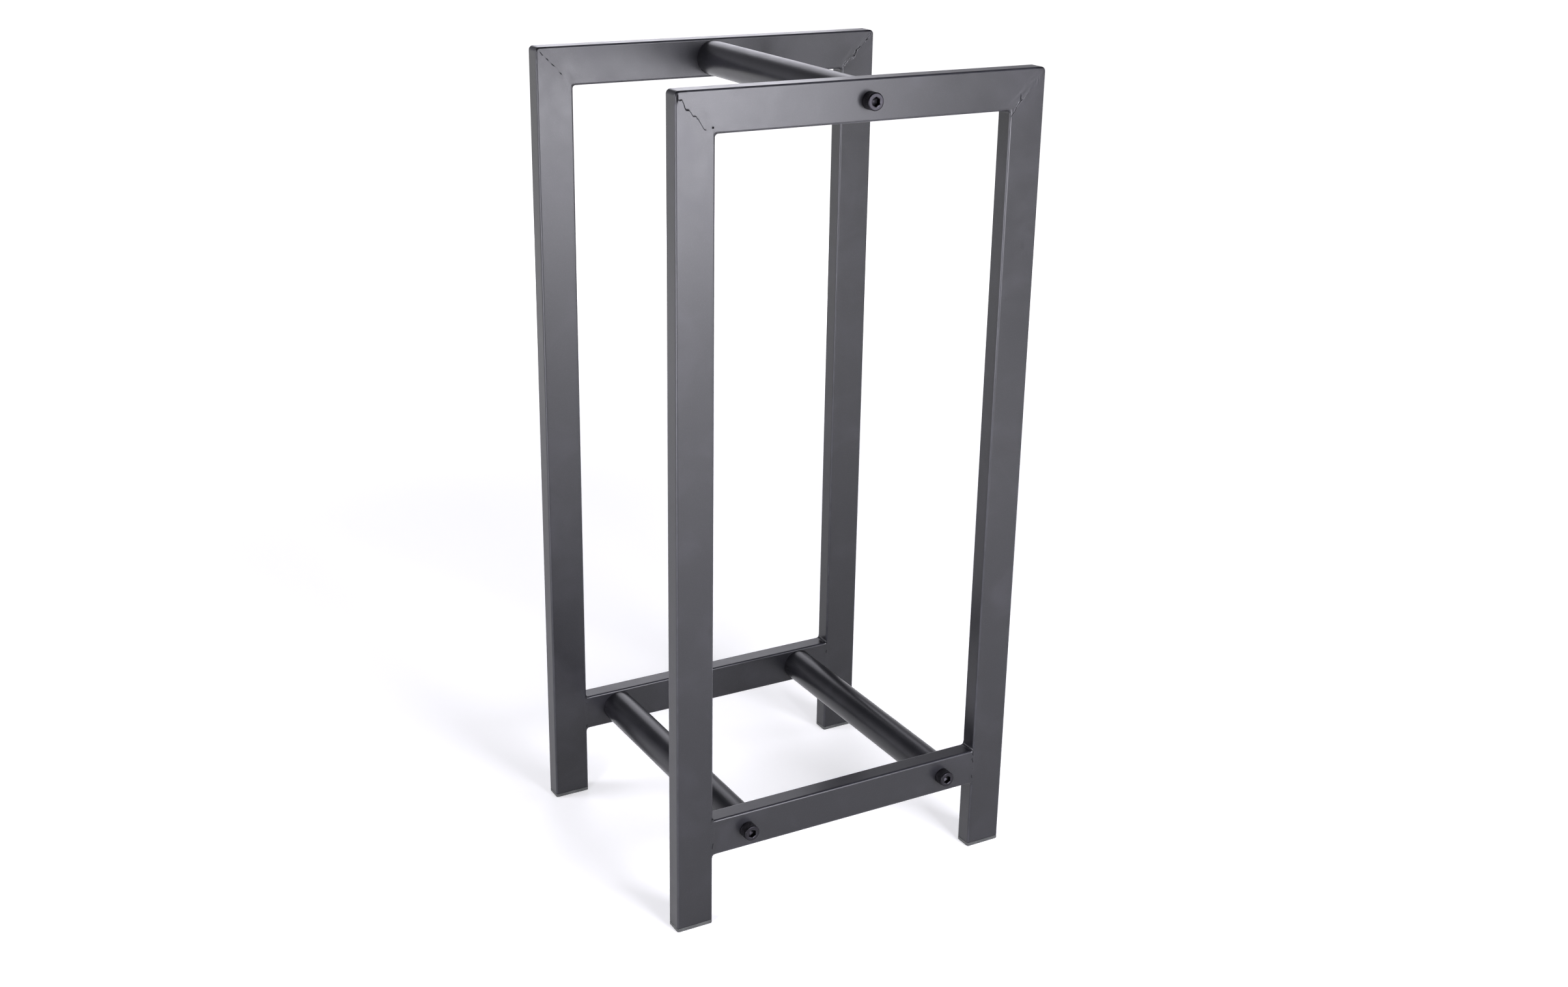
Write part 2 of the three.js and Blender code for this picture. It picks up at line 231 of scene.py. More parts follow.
def tube_rings(loop, normals, length, start_mitred, end_mitred):
    """Rings of along, across and deep distances from one end of a tube wall to the other. A
    mitred end follows the turning lines with rows that close up towards the mitre; a plain end
    has a tiny chamfer."""
    across = loop[:, 0]
    rounding = corner_rounding(across)
    line = CORNER_REACH - across - rounding + rounding * MITRE_TURN
    ends = []
    for mitred in (start_mitred, end_mitred):
        if mitred:
            back = np.linspace(0, 1, CORNER_ROWS)[:, None] ** 2 * line
            short, slid, _ = towards_mitre(across, back)
            deep = np.broadcast_to(loop[:, 1], short.shape)
        else:
            inset = np.array([BURR_CHAMFER, 0, 0])[:, None]
            short = np.array([0, BURR_CHAMFER, CORNER_REACH])[:, None] + 0 * across
            slid = across - inset * normals[:, 0]
            deep = loop[:, 1] - inset * normals[:, 1]
        ends.append(np.stack([short, slid, deep], axis=2))
    middle = np.linspace(CORNER_REACH, length - CORNER_REACH, round(length / ROW_SPACING))[1:-1]
    along = np.broadcast_to(middle[:, None, None], (len(middle), len(loop), 1))
    span = np.concatenate([along, np.broadcast_to(loop, (len(middle), *loop.shape))], axis=2)
    last = ends[1] * [-1, 1, 1] + [length, 0, 0]
    return np.concatenate([ends[0], span, last[::-1]])


def skin(name, rings, hoop, marks):
    """Mesh through rings of points. Quads join each point to the next round its ring and to the
    next ring. A hoop also joins the last ring to the first; otherwise a flat face fills both end
    rings. When the volume comes out negative the faces are turned round. marks gives a number
    for each point, by name, for the material to read."""
    rows, columns = rings.shape[:2]
    number = np.arange(rows * columns).reshape(rows, columns)
    near = number if hoop else number[:-1]
    far = np.roll(number, -1, axis=0) if hoop else number[1:]
    quads = np.stack([near, np.roll(near, -1, axis=1), np.roll(far, -1, axis=1), far], axis=2)
    quads = quads.reshape(-1, 4)
    points = rings.reshape(-1, 3)
    middle = points - points.mean(axis=0)
    a, b, c, d = (middle[quads[:, i]] for i in range(4))
    volume = np.einsum("ij,ij->", a, np.cross(b, c)) + np.einsum("ij,ij->", a, np.cross(c, d))
    faces = quads.tolist()
    if not hoop:
        faces += [number[0, ::-1].tolist(), number[-1].tolist()]
        first, final = middle[number[0]], middle[number[-1]]
        first_fan = np.cross(first, np.roll(first, -1, axis=0))
        final_fan = np.cross(final, np.roll(final, -1, axis=0))
        volume -= np.einsum("ij,j->", first_fan, first.mean(axis=0))
        volume += np.einsum("ij,j->", final_fan, final.mean(axis=0))
    if volume < 0:
        faces = [face[::-1] for face in faces]
    mesh = bpy.data.meshes.new(name)
    mesh.from_pydata(points, [], faces)
    mesh.shade_smooth()
    mesh.set_sharp_from_angle(angle=SHARP_ANGLE)
    for mark, values in marks.items():
        mesh.attributes.new(mark, "FLOAT", "POINT").data.foreach_set(
            "value", np.broadcast_to(values, (rows, columns)).ravel().astype(np.float32))
    piece = bpy.data.objects.new(name, mesh)
    bpy.context.scene.collection.objects.link(piece)
    return piece


def drill(piece, x, z, diameter):
    """Bores a round hole through the piece along Y, then marks sharp edges again."""
    corners_y = np.array(piece.bound_box)[:, 1]
    angle = np.linspace(0, FULL_TURN, HOLE_STEPS, endpoint=False)
    y = np.array([corners_y.min() - HAIR, corners_y.max() + HAIR])
    rings = np.stack(np.broadcast_arrays(x + diameter / 2 * np.cos(angle), y[:, None],
                                         z + diameter / 2 * np.sin(angle)), axis=2)
    bit = skin("drill_bit", rings, False, {})
    cut = piece.modifiers.new("hole", "BOOLEAN")
    cut.operation = "DIFFERENCE"
    cut.solver = "EXACT"
    cut.object = bit
    evaluated = piece.evaluated_get(bpy.context.evaluated_depsgraph_get())
    drilled = bpy.data.meshes.new_from_object(evaluated)
    piece.modifiers.clear()
    piece.data = drilled
    drilled.set_sharp_from_angle(angle=SHARP_ANGLE)
    bpy.data.objects.remove(bit)


FACE_STEPS = 4
SIDE_STEPS = 3
outer_loop, outer_normals = rounded_loop(FACE_WIDTH, SIDE_DEPTH, TUBE_EDGE_RADIUS,
                                         FACE_STEPS, SIDE_STEPS)
bore_loop, bore_normals = rounded_loop(FACE_WIDTH - 2 * TUBE_WALL, SIDE_DEPTH - 2 * TUBE_WALL,
                                       TUBE_BORE_RADIUS, FACE_STEPS, SIDE_STEPS)
bore_loop = bore_loop + [TUBE_WALL, 0]
# The edge mark peaks on the rounded tube edges. The coat lightens there as a painted highlight.
outer_edge_mark = 4 * (outer_normals[:, 0] * outer_normals[:, 1]) ** 2


def flat_tube(name, length, start_mitred, end_mitred, put):
    """A length of flat tube with its wall: the outer rings from end to end and then the bore
    rings back again, closed into a hoop. put turns along, across and deep into x, y and z."""
    outside = tube_rings(outer_loop, outer_normals, length, start_mitred, end_mitred)
    inside = tube_rings(bore_loop, bore_normals, length, start_mitred, end_mitred)[::-1]
    rings = np.concatenate([outside, inside])
    mark = np.zeros(rings.shape[:2])
    mark[:len(outside)] = outer_edge_mark
    piece = skin(name, np.stack(put(*np.moveaxis(rings, 2, 0)), axis=2), True, {"edge": mark})
    piece.data.materials.append(powder_coat)
    return piece


for end in ("front", "rear"):
    leg_low, leg_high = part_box(end + "_left_leg")
    rail_low, rail_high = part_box(end + "_bottom_rail")
    middle_y = (leg_low.y + leg_high.y) / 2
    leg_foot = leg_low.z
    rail_bottom = rail_low.z
    pieces = {
        "left_leg": flat_tube(end + "_left_leg_tube", RACK_TOP - leg_foot, False, True,
                              lambda a, s, d: (s - OUTER_X, d + middle_y, a + leg_foot)),
        "right_leg": flat_tube(end + "_right_leg_tube", RACK_TOP - leg_foot, False, True,
                               lambda a, s, d: (OUTER_X - s, d + middle_y, a + leg_foot)),
        "top_rail": flat_tube(end + "_top_rail_tube", 2 * OUTER_X, True, True,
                              lambda a, s, d: (a - OUTER_X, d + middle_y, RACK_TOP - s)),
        "bottom_rail": flat_tube(
            end + "_bottom_rail_tube", 2 * (OUTER_X - FACE_WIDTH), False, False,
            lambda a, s, d: (a - OUTER_X + FACE_WIDTH, d + middle_y, rail_bottom + s)),
    }
    for screw in ("top", "lower_left", "lower_right"):
        low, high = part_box(f"{end}_{screw}_cap_screw")
        rail = pieces["top_rail" if screw == "top" else "bottom_rail"]
        drill(rail, (low.x + high.x) / 2, (low.z + high.z) / 2, RAIL_SCREW_HOLE)
    for part, piece in pieces.items():
        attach(piece, "root")
        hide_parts(f"{end}_{part}")


# ---------------------------------------------------------------------------------------------
# Ground mitre welds. The top corners are welded all round and ground nearly flush before
# coating, which leaves a low uneven band, a crooked seam where the weld has not closed, and a
# pinhole or two. The bands are coated with the frames, and the open seam and pits get painted
# shade from the coat's seam mark.
WELD_HALF_WIDTH = 7.6 * MM
WELD_DEPTH = 0.6 * MM
WELD_LIFT = 0.07 * MM
WELD_LEAST_LIFT = 0.012 * MM
WELD_STEPS = 84
WELD_FACE_STEPS = 150
WELD_SIDE_STEPS = 8
WELD_UNDER_STEPS = 5
SIDE_WAVE = 4.0 * MM
GRIND_WAVE = 9.0 * MM
SCAR_WAVE = 1.9 * MM
SCAR_REACH = 1.5 * MM
SEAM_DEPTH = 0.16 * MM
SEAM_HALF_WIDTH = 0.30 * MM
SEAM_FRAY = 0.18 * MM
SEAM_RUN = 2.6 * MM
SEAM_KINK = 0.9 * MM
SEAM_REACH = 60.0 * MM
PIT_SHARPNESS = 7


def waves(across, along, size, seed, count=14):
    """Smooth uneven ground: the mean of sine waves of about this size, with random headings and
    phases from a seed, between about minus one and one."""
    draw = np.random.default_rng(seed)
    heading = draw.uniform(0, FULL_TURN, count)
    number = FULL_TURN / size * draw.uniform(0.6, 1.6, count)
    phase = draw.uniform(0, FULL_TURN, count)
    total = sum(np.sin(n * (across * math.cos(h) + along * math.sin(h)) + p)
                for h, n, p in zip(heading, number, phase))
    return total / math.sqrt(count / 2) / 1.6


def crooked(distance, reach, seed):
    """A crooked line: straight runs between random offsets every 2.6 mm, with kinks a fifth as
    large every 0.9 mm."""
    draw = np.random.default_rng(seed)
    coarse = np.arange(0, SEAM_REACH, SEAM_RUN)
    fine = np.arange(0, SEAM_REACH, SEAM_KINK)
    return (np.interp(distance, coarse, draw.uniform(-reach, reach, len(coarse)))
            + np.interp(distance, fine, draw.uniform(-reach, reach, len(fine)) / 5))


def mitre_weld(name, side, middle_y, front, back, seed):
    """A band that hugs both tubes at a mitre. Its section runs over the leg, across the mitre
    and over the rail, lifted along the surface normal by a low smooth hump with waves on it, and
    returns inside the wall. front and back each give, for one face of the frame, the open runs
    of the seam, the pits, how far the seam leans to the rail, how far it strays and how rough
    the grinding is."""
    loop, normals = rounded_loop(FACE_WIDTH, SIDE_DEPTH, TUBE_EDGE_RADIUS,
                                 WELD_FACE_STEPS, WELD_SIDE_STEPS)
    across, deep = loop[:, 0], loop[:, 1]
    reach = np.linspace(-WELD_HALF_WIDTH, WELD_HALF_WIDTH, WELD_STEPS + 1)[:, None]
    short, slid, turned = towards_mitre(across, np.abs(reach))
    from_side = np.where(reach < 0, slid, short)
    from_top = np.where(reach < 0, short, slid)
    hump = (1 - (reach / WELD_HALF_WIDTH) ** 2) ** 1.5
    lift = WELD_LIFT * hump * (0.25 + 0.15 * waves(deep, reach, SIDE_WAVE, seed)) + 0 * across
    seam_shade_mask = np.zeros_like(lift)
    for face, way, (runs, pits, lean, stray, rough) in ((0, -1, front), (1, 1, back)):
        on_face = np.clip(way * normals[:, 1] * 4 - 3, 0, 1)
        ground = 0.7 + 0.35 * waves(across, reach, GRIND_WAVE, seed + 10 + face)
        scar = rough * waves(across, reach, SCAR_WAVE, seed + 20 + face)
        line = lean + crooked(across, stray, seed + 30 + face)
        opening = 0
        for a, b, strength in runs:
            past_end = np.abs(across - (a + b) / 2 * MM) - (b - a) / 2 * MM
            opening = opening + strength / (1 + np.exp(past_end / SEAM_FRAY))
        slope = np.gradient(line, across + NUDGE * np.arange(len(across)))
        gap = (reach - line) / np.sqrt(1 + slope ** 2)
        groove = np.exp(-(gap / (SEAM_HALF_WIDTH * (0.5 + 0.8 * opening))) ** 2) * opening ** 0.5
        for x, z, wide, high, strength in pits:
            away = np.hypot((from_side - x * MM) / (wide * MM), (from_top - z * MM) / (high * MM))
            groove = np.maximum(groove, strength / (1 + np.exp((away - 1) * PIT_SHARPNESS)))
        near_seam = np.exp(-(gap / SCAR_REACH) ** 2) * np.clip(opening + 0.3, 0, 1)
        height = WELD_LIFT * hump * (ground + scar * near_seam) - SEAM_DEPTH * groove
        lift = lift * (1 - on_face) + np.maximum(height, WELD_LEAST_LIFT * hump) * on_face
        # Painted shade: the seam groove and the pits of this face go into the seam mark, which the
        # coat paints near black.
        seam_shade_mask = np.maximum(seam_shade_mask, groove * on_face)
    under = np.linspace(WELD_HALF_WIDTH, -WELD_HALF_WIDTH, WELD_UNDER_STEPS)[:, None]
    short_under, slid_under, turned_under = towards_mitre(across, np.abs(under))
    lift = np.concatenate([lift, np.full((len(under), len(across)), -WELD_DEPTH)])
    seam_shade_mask = np.concatenate([seam_shade_mask, np.zeros((len(under), len(across)))])
    turned = np.concatenate([turned, turned_under])
    outward = lift * normals[:, 0]
    on_leg = np.concatenate([reach, under]) < 0
    short = np.concatenate([short, short_under]) + outward * np.sin(turned)
    slid = np.concatenate([slid, slid_under]) + outward * np.cos(turned)
    x = np.where(on_leg, slid, short) - OUTER_X
    z = RACK_TOP - np.where(on_leg, short, slid)
    y = middle_y + deep + lift * normals[:, 1]
    piece = skin(name, np.stack([-side * x, y, z], axis=2), True, {"seam_shade": seam_shade_mask})
    piece.data.materials.append(powder_coat)
    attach(piece, "root")


# Each face, in mm from the outer corner: open runs of the seam as (from, to, how open), pits as
# (from the side, from the top, half width, half height, how deep), and then how far the seam
# leans to the rail, how far it strays, and how rough the grinding is.
# The first pit of the long seam is a long soft patch at the outer corner: a shallow dent with
# painted shade.
long_seam = ([(2.0, 6.6, 0.7), (6.6, 10.4, 1.0), (10.4, 22.6, 0.55)],
             [(1.7, 4.4, 0.7, 3.2, 0.8), (28.0, 25.5, 0.7, 0.7, 1.0)], -3.3 * MM, 2.5 * MM, 0.3)
cracked_seam = ([(19.8, 29.0, 0.8)], [(21.2, 21.0, 0.5, 2.6, 0.7)], -3.4 * MM, 1.7 * MM, 1.7)
faint_seam = ([(21.0, 27.5, 0.45)], [], 0.0, 1.6 * MM, 1.1)
dashed_seam = ([(3.4, 5.6, 1.0), (8.4, 9.8, 1.0), (12.6, 14.6, 1.0), (19.4, 20.6, 1.0)], [],
               0.0, 0.5 * MM, 0.2)
scarred_seam = ([(2.4, 3.8, 0.8), (5.6, 7.8, 1.0), (12.4, 19.6, 1.0), (24.0, 26.4, 0.6)], [],
                0.0, 1.9 * MM, 1.7)
corner_seams = {
    "front": {"left": (long_seam, faint_seam), "right": (cracked_seam, dashed_seam)},
    "rear": {"left": (dashed_seam, long_seam), "right": (scarred_seam, faint_seam)},
}
for end, corners in corner_seams.items():
    low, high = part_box(end + "_top_rail")
    for order, (side, (front, back)) in enumerate(corners.items()):
        mitre_weld(f"{end}_{side}_mitre_weld", -1 if side == "left" else 1, (low.y + high.y) / 2,
                   front, back, 40 * order + (3 if end == "front" else 7))


# ---------------------------------------------------------------------------------------------
# Bottom rail welds. A small fillet weld runs once round each end of a bottom rail where it is
# butted to the leg. It is left as a hollow fillet above and below, and ground flush on the two
# faces, where it fills the rounded edge of the leg. It is coated with the frames. A broken seam
# along the bead is dented a little and painted near black as shade.
BUTT_FILLET = 2.6 * MM
BUTT_OVERLAP = 2.3 * MM
BUTT_LIFT = 0.05 * MM
BUTT_ROOT = 1.3 * MM
RIPPLE_PITCH = 1.7 * MM
RIPPLE_HEIGHT = 0.07 * MM
BUTT_STEPS = 14
BUTT_FACE_STEPS = 60
BUTT_SIDE_STEPS = 30
BUTT_TUCK = 0.004 * MM
BUTT_SEAM_WIDTH = 0.08
GRIND_ALLOWANCE = 0.10 * MM


def butt_weld(name, side, rail_low, rail_high, seed):
    """A bead round a rail end. Its section is a curve from the rail point to the leg point that
    bends about the inside corner: (1 - share) squared of the one, share squared of the other,
    and the rest of the corner, which is the origin. Then it returns by a root inside the walls.
    Ripples cross it every 1.7 mm."""
    middle_y = (rail_low.y + rail_high.y) / 2
    loop, normals = rounded_loop(FACE_WIDTH, SIDE_DEPTH, TUBE_EDGE_RADIUS,
                                 BUTT_FACE_STEPS, BUTT_SIDE_STEPS)
    flat_share = normals[:, 1] ** 2
    share = np.linspace(0, 1, BUTT_STEPS + 1)[:, None]
    walk = np.concatenate([[0], np.cumsum(np.linalg.norm(np.diff(loop, axis=0), axis=1))])
    start, finish = (1 - share) ** 2, share ** 2
    out_along = start * BUTT_FILLET - finish * BUTT_OVERLAP * flat_share
    rise = finish * BUTT_FILLET * (1 - flat_share)
    wander = 1.2 * waves(walk, share * MM, 9 * MM, seed)
    ripple = np.sin(FULL_TURN * walk / RIPPLE_PITCH + 2.4 * share + wander)
    hump = 4 * share * (1 - share)
    uneven = 0.5 + 0.5 * waves(walk, share * 4 * MM, 5 * MM, seed + 1)
    rippled = RIPPLE_HEIGHT * ripple * (1 - 0.7 * flat_share)
    lift = hump * (BUTT_LIFT * (1 + uneven) + rippled) - BUTT_TUCK
    # Painted shade: a broken seam line along the bead, dented and marked dark for the coat.
    seam_share = share - 0.55 - 0.1 * waves(walk, 0 * share, 6 * MM, seed + 2)
    seam_shade = 0.8 * np.exp(-(seam_share / BUTT_SEAM_WIDTH) ** 2)
    seam_shade = seam_shade * np.clip(waves(walk, 0 * share, 8 * MM, seed + 3) * 3 - 1.2, 0, 1)
    out = rise + lift - SEAM_DEPTH * 0.4 * seam_shade
    along = np.concatenate([out_along + 0.5 * lift * (1 - flat_share),
                            np.full((1, len(walk)), -0.4 * MM) - BUTT_OVERLAP / 2 * flat_share,
                            np.full((1, len(walk)), 0.4 * BUTT_FILLET)])
    out = np.concatenate([out, np.full((2, len(walk)), -BUTT_ROOT)])
    seam_shade = np.concatenate([seam_shade, np.zeros((2, len(walk)))])
    x = side * (OUTER_X - FACE_WIDTH - along)
    ground = SIDE_DEPTH / 2 + GRIND_ALLOWANCE * (1 + 0.4 * uneven[-1:])
    y = middle_y + np.clip(loop[:, 1] + out * normals[:, 1], -ground, ground)
    z = rail_low.z + loop[:, 0] + out * normals[:, 0]
    piece = skin(name, np.stack([x, y, z], axis=2), True, {"seam_shade": seam_shade})
    piece.data.materials.append(powder_coat)
    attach(piece, "root")


for end, seed in (("front", 11), ("rear", 23)):
    rail_low, rail_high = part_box(end + "_bottom_rail")
    for side, way in (("left", -1), ("right", 1)):
        butt_weld(f"{end}_{side}_rail_weld", way, rail_low, rail_high, seed + 40 * (way + 1))


# ---------------------------------------------------------------------------------------------
# Carry handle and the two log bearers. Three equal lengths of 26.9 mm round steel tube with a
# 2 mm wall, sawn square, coated as the frames are, and clamped between them by a screw at each
# end.
ROUND_WALL = 2.0 * MM
ROUND_CHAMFER = 0.35 * MM
ROUND_SEAT = 0.02 * MM
ROUND_STEPS = 128
ROUND_ROWS = 8

rail_inner_y = -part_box("front_top_rail")[1].y


def turned_hoop(name, centre_x, centre_z, radius, along, steps, hoop, marks):
    """A turned shape about an axis along Y: radius and along give its profile, row by row, and
    the profile is carried once round the axis."""
    angle = np.linspace(0, FULL_TURN, steps, endpoint=False)
    radius, along = np.broadcast_arrays(radius, along)
    rings = np.stack([centre_x + radius * np.cos(angle), along + 0 * angle,
                      centre_z + radius * np.sin(angle)], axis=2)
    return skin(name, rings, hoop, marks)


for node in ("carry_handle", "left_log_bearer", "right_log_bearer"):
    low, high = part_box(node)
    outside = (high.x - low.x) / 2
    bore = outside - ROUND_WALL
    end_y = rail_inner_y - ROUND_SEAT
    body_y = np.linspace(-(end_y - CORNER_REACH), end_y - CORNER_REACH, ROUND_ROWS)
    edge_y = end_y - ROUND_CHAMFER
    hair_y = edge_y - HAIR
    y = np.concatenate([[-end_y, -edge_y, -hair_y], body_y, [hair_y, edge_y, end_y]])
    outer = np.full(len(y), outside)
    outer[[0, -1]] = outside - ROUND_CHAMFER
    inner = np.full(len(y), bore)
    inner[[0, -1]] = bore + ROUND_CHAMFER
    radius = np.concatenate([outer, inner[::-1]])[:, None]
    piece = turned_hoop(node + "_tube", (low.x + high.x) / 2, (low.z + high.z) / 2, radius,
                        np.concatenate([y, y[::-1]])[:, None], ROUND_STEPS, True, {})
    piece.data.materials.append(powder_coat)
    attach(piece, "root")
    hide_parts(node)


# ---------------------------------------------------------------------------------------------
# Threaded plugs. A short turned steel plug with an M8 thread is pressed into each end of each
# round tube, and takes the screw. The CAD solids stay, and get their zinc finish here.
# Bright zinc plate on steel: a thin electroplated film, silvery with a faint blue cast, cloudy
# patches some 6 mm across and turning marks, which really are 0.1 mm apart and are drawn 2.5 mm
# apart. The wave node repeats every 2 pi / 20 of its input, so its scale is 125 for each metre.
ZINC_COLOUR = "#b4b9c0"
ZINC_CLOUD_COLOUR = "#8f949c"
ZINC_CLOUD_SIZE = 6.0 * MM
TURNING_SCALE = 125.0
TURNING_HEIGHT = 0.01 * MM
zinc, tree, place = start_finish("zinc_plated_turned_steel")
cloud = add_node(tree, "ShaderNodeTexNoise", {},
                 {"Vector": place, "Scale": 1 / ZINC_CLOUD_SIZE, "Detail": 3.0})
turning = add_node(tree, "ShaderNodeTexWave", {"bands_direction": "Y"},
                   {"Vector": place, "Scale": TURNING_SCALE, "Distortion": 1.5, "Detail": 2.0})
zinc_colour = add_node(tree, "ShaderNodeMix", {"data_type": "RGBA"},
                       {0: cloud.outputs["Fac"], 6: linear(ZINC_COLOUR),
                        7: linear(ZINC_CLOUD_COLOUR)})
zinc_roughness = add_node(tree, "ShaderNodeMapRange", {},
                          {"Value": cloud.outputs["Fac"], "To Min": 0.26, "To Max": 0.44})
zinc_bump = add_node(tree, "ShaderNodeBump", {},
                     {"Height": turning.outputs["Fac"], "Distance": TURNING_HEIGHT})
zinc_shader = add_node(tree, "ShaderNodeBsdfPrincipled", {},
                       {"Base Color": zinc_colour.outputs[2],
                        "Roughness": zinc_roughness.outputs[0],
                        "Normal": zinc_bump.outputs[0], "Metallic": 1.0})
add_node(tree, "ShaderNodeOutputMaterial", {}, {"Surface": zinc_shader.outputs[0]})
for end in ("front", "rear"):
    for place_name in ("top", "lower_left", "lower_right"):
        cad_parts[f"{end}_{place_name}_threaded_plug"].material_slots[0].material = zinc


# ---------------------------------------------------------------------------------------------
# Socket head cap screws, M8 x 30. Six of them clamp the frames to the round tubes, with no
# washer. Cold-headed alloy steel with a knurled head and a hexagon socket, rolled thread, oiled
# black oxide finish.
HEAD_HEIGHT = 8.25 * MM
HEAD_RADIUS = 6.4 * MM
HEAD_ROUND = 0.95 * MM
SOCKET_ACROSS_FLATS = 6.0 * MM
SOCKET_DEPTH = 4.0 * MM
SOCKET_CONE = 1.3 * MM
SOCKET_MOUTH_RADIUS = 3.75 * MM
SOCKET_MOUTH_CHAMFER = 0.35 * MM
KNURL_RIDGES = 48
KNURL_HEIGHT = 0.16 * MM
KNURL_BOTTOM = 1.0 * MM
SHANK_RADIUS = 4.0 * MM
THREAD_START = 2.0 * MM
THREAD_PITCH = 1.25 * MM
THREAD_DEPTH = 0.76 * MM
THREAD_ROWS_PER_TURN = 6
TIP_RADIUS = SHANK_RADIUS - 1.3 * MM
POLE_RADIUS = 0.05 * MM
SCREW_STEPS = 192
MOUTH_POLISH = 0.3
FACE_POLISH = 0.1
KNURL_POLISH = 0.6

# Black oxide on steel: a magnetite film a thousandth of a millimetre thick, held under oil. It
# reads as near black with a soft metal glint, greyer where handling and the key have polished
# it. The oil's cloudiness is some 3 mm across; the fine grain of 0.1 mm is drawn 0.35 mm.
OXIDE_COLOUR = "#262528"
OXIDE_POLISHED_COLOUR = "#6e6d72"
OIL_CLOUD_SIZE = 3.0 * MM
OXIDE_GRAIN_SIZE = 0.35 * MM
OXIDE_GRAIN_HEIGHT = 0.008 * MM
black_oxide, tree, place = start_finish("oiled_black_oxide_steel")
oil = add_node(tree, "ShaderNodeTexNoise", {},
               {"Vector": place, "Scale": 1 / OIL_CLOUD_SIZE, "Detail": 3.0})
grain = add_node(tree, "ShaderNodeTexNoise", {},
                 {"Vector": place, "Scale": 1 / OXIDE_GRAIN_SIZE, "Detail": 2.0})
polished = add_node(tree, "ShaderNodeAttribute", {"attribute_name": "polish"}, {})
polish_share = add_node(tree, "ShaderNodeMath", {"operation": "MULTIPLY"},
                        {0: polished.outputs["Fac"], 1: grain.outputs["Fac"]})
oxide_colour = add_node(tree, "ShaderNodeMix", {"data_type": "RGBA"},
                        {0: polish_share.outputs[0], 6: linear(OXIDE_COLOUR),
                         7: linear(OXIDE_POLISHED_COLOUR)})
oxide_roughness = add_node(tree, "ShaderNodeMapRange", {},
                           {"Value": oil.outputs["Fac"], "To Min": 0.3, "To Max": 0.5})
oxide_bump = add_node(tree, "ShaderNodeBump", {},
                      {"Height": grain.outputs["Fac"], "Distance": OXIDE_GRAIN_HEIGHT})
oxide_shader = add_node(tree, "ShaderNodeBsdfPrincipled", {},
                        {"Base Color": oxide_colour.outputs[2],
                         "Roughness": oxide_roughness.outputs[0],
                         "Normal": oxide_bump.outputs[0], "Metallic": 1.0})
add_node(tree, "ShaderNodeOutputMaterial", {}, {"Surface": oxide_shader.outputs[0]})


def cap_screw_profile(length):
    """Height above the seat, radius and polish of every row of a cap screw, from the bottom of
    the socket, out over the head and down the shank to the tip. The hexagon's radius is half its
    width over the cosine of the angle from the nearest flat. The knurl is a zigzag round the
    head. The thread is a zigzag in height that moves on by one pitch a turn."""
    angle = np.linspace(0, FULL_TURN, SCREW_STEPS, endpoint=False)
    from_flat = (angle + math.pi / 6) % (math.pi / 3) - math.pi / 6
    hexagon = SOCKET_ACROSS_FLATS / 2 / np.cos(from_flat)
    floor = HEAD_HEIGHT - SOCKET_DEPTH
    rim = HEAD_RADIUS - HEAD_ROUND
    knurl_top = HEAD_HEIGHT - HEAD_ROUND - 0.25 * MM
    knurl = HEAD_RADIUS - KNURL_HEIGHT * np.abs((angle / FULL_TURN * KNURL_RIDGES) % 1 * 2 - 1)
    rows = [(floor - SOCKET_CONE, POLE_RADIUS, 0), (floor - 0.5 * SOCKET_CONE, hexagon * 0.5, 0),
            (floor, hexagon * 0.97, 0), (floor + 0.1 * MM, hexagon, 0),
            (floor + SOCKET_DEPTH / 2, hexagon, 0),
            (HEAD_HEIGHT - SOCKET_MOUTH_CHAMFER, hexagon, 0),
            (HEAD_HEIGHT, SOCKET_MOUTH_RADIUS, MOUTH_POLISH),
            (HEAD_HEIGHT, SOCKET_MOUTH_RADIUS + 0.15 * MM, FACE_POLISH),
            (HEAD_HEIGHT, rim - 0.15 * MM, FACE_POLISH)]
    rows += [(HEAD_HEIGHT - HEAD_ROUND * (1 - math.cos(t)), rim + HEAD_ROUND * math.sin(t), 0)
             for t in np.linspace(0, math.pi / 2, 6)]
    rows += [(height, knurl, KNURL_POLISH) for height in (knurl_top, HEAD_HEIGHT / 2, KNURL_BOTTOM)]
    rows += [(0.7 * MM, HEAD_RADIUS - 0.02 * MM, 0), (0.3 * MM, HEAD_RADIUS - 0.05 * MM, 0),
             (0.0, HEAD_RADIUS - 0.35 * MM, 0), (0.0, SHANK_RADIUS + 0.5 * MM, 0),
             (-0.15 * MM, SHANK_RADIUS + 0.15 * MM, 0), (-0.5 * MM, SHANK_RADIUS, 0)]
    for height in np.arange(-THREAD_START, -length + 1 * MM, -THREAD_PITCH / THREAD_ROWS_PER_TURN):
        tooth = np.abs((height / THREAD_PITCH + angle / FULL_TURN) % 1 * 2 - 1)
        fade = min(1.0, (-THREAD_START - height) / THREAD_PITCH)
        rows.append((height, SHANK_RADIUS - THREAD_DEPTH * fade * tooth, 0))
    rows += [(-length + 0.4 * MM, SHANK_RADIUS - THREAD_DEPTH, 0), (-length, TIP_RADIUS, 0),
             (-length, POLE_RADIUS, 0)]
    heights = np.array([height for height, _, _ in rows])[:, None]
    radii = np.array([radius + 0 * angle for _, radius, _ in rows])
    return heights, radii, np.array([polish for _, _, polish in rows], dtype=float)[:, None]


